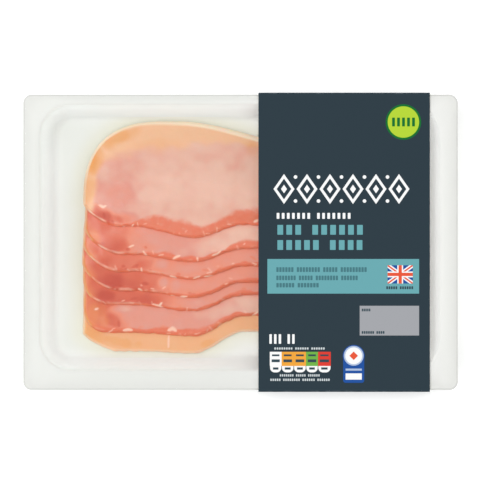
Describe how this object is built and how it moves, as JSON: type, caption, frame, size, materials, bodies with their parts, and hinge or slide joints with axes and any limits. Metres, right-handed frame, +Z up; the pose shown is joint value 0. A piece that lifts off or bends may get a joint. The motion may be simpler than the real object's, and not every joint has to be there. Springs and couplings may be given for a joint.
{
  "type": "bacon pack",
  "caption": "Flat sealed food tray with a fan of back bacon rashers under a clear lid film, and a printed card sleeve round one side",
  "frame": {"origin": "middle of the pack's footprint, on the surface that it lies on", "axes": "+X along the pack's length, towards the end with the sleeve; +Y across it, towards the top of the front print; +Z up, out of the front"},
  "size_m": [0.25, 0.1722, 0.0207],
  "materials": {
    "tray_plastic": "satin, thermoformed, slightly milky",
    "bacon_lean": "moist cured meat with marbling, pale pink to deep pink",
    "bacon_fat": "moist cream to peach fat",
    "lid_film": "clear glossy film",
    "sleeve_card": "matt coated board, printed navy outside"
  },
  "bodies": {
    "root": {"tray": "tray_plastic", "rasher_1": "bacon_lean", "rasher_2": "bacon_lean", "rasher_3": "bacon_lean", "rasher_4": "bacon_lean", "rasher_5": "bacon_lean", "rasher_6": "bacon_lean", "rasher_7": "bacon_fat", "film": "lid_film", "sleeve": "sleeve_card"}
  },
  "joints": []
}
